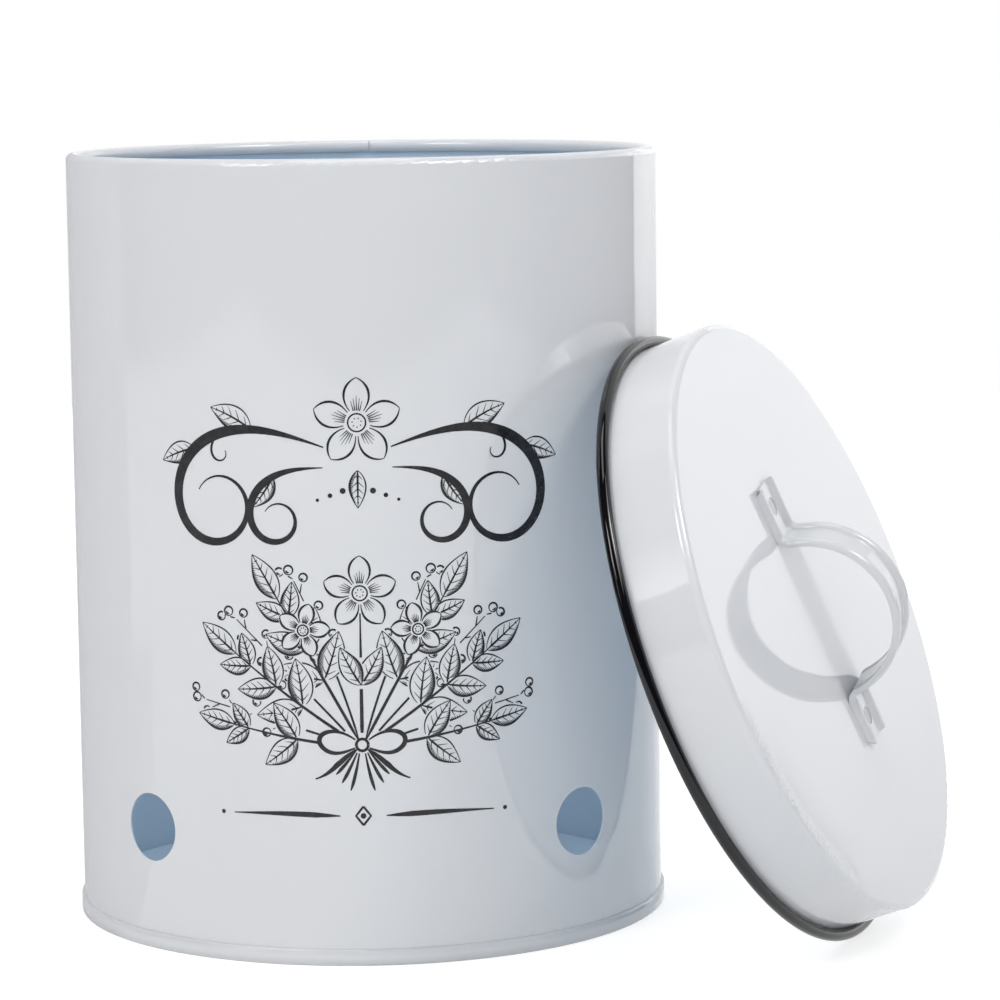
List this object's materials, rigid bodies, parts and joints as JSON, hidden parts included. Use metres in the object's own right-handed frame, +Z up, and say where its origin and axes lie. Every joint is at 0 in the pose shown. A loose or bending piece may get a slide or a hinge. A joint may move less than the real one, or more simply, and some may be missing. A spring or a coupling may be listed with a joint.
{
  "type": "potato storage bin",
  "caption": "Round sheet-metal bin with vent holes near its foot and a slip-over lid, taken off and leaning on its side, with a ribbed strap handle.",
  "frame": {"origin": "centre of the ring that the bin stands on, on the floor", "axes": "+Z up along the bin's axis; the front, between the two front vents, faces -Y; the lid leans on the bin's right side, towards +X"},
  "size_m": [0.3242, 0.2759, 0.28],
  "materials": {
    "white_paint": "gloss white paint, faintly cool, on sheet steel",
    "black_enamel": "gloss black enamel",
    "rivet_paint": "gloss pale grey paint, a little darker than the sheet"
  },
  "bodies": {
    "bin": {"bin_wall": "white_paint", "bin_base": "white_paint"},
    "lid": {"lid_shell": "white_paint", "lid_edge_ring": "black_enamel", "lid_handle": "white_paint", "handle_rivet_upper": "rivet_paint", "handle_rivet_lower": "rivet_paint"}
  },
  "joints": [
    {"name": "lid_pull", "type": "slide", "parent": "bin", "child": "lid", "axis": [0.8673, -0.3504, 0.3535], "range_m": [0, 0.3]}
  ]
}
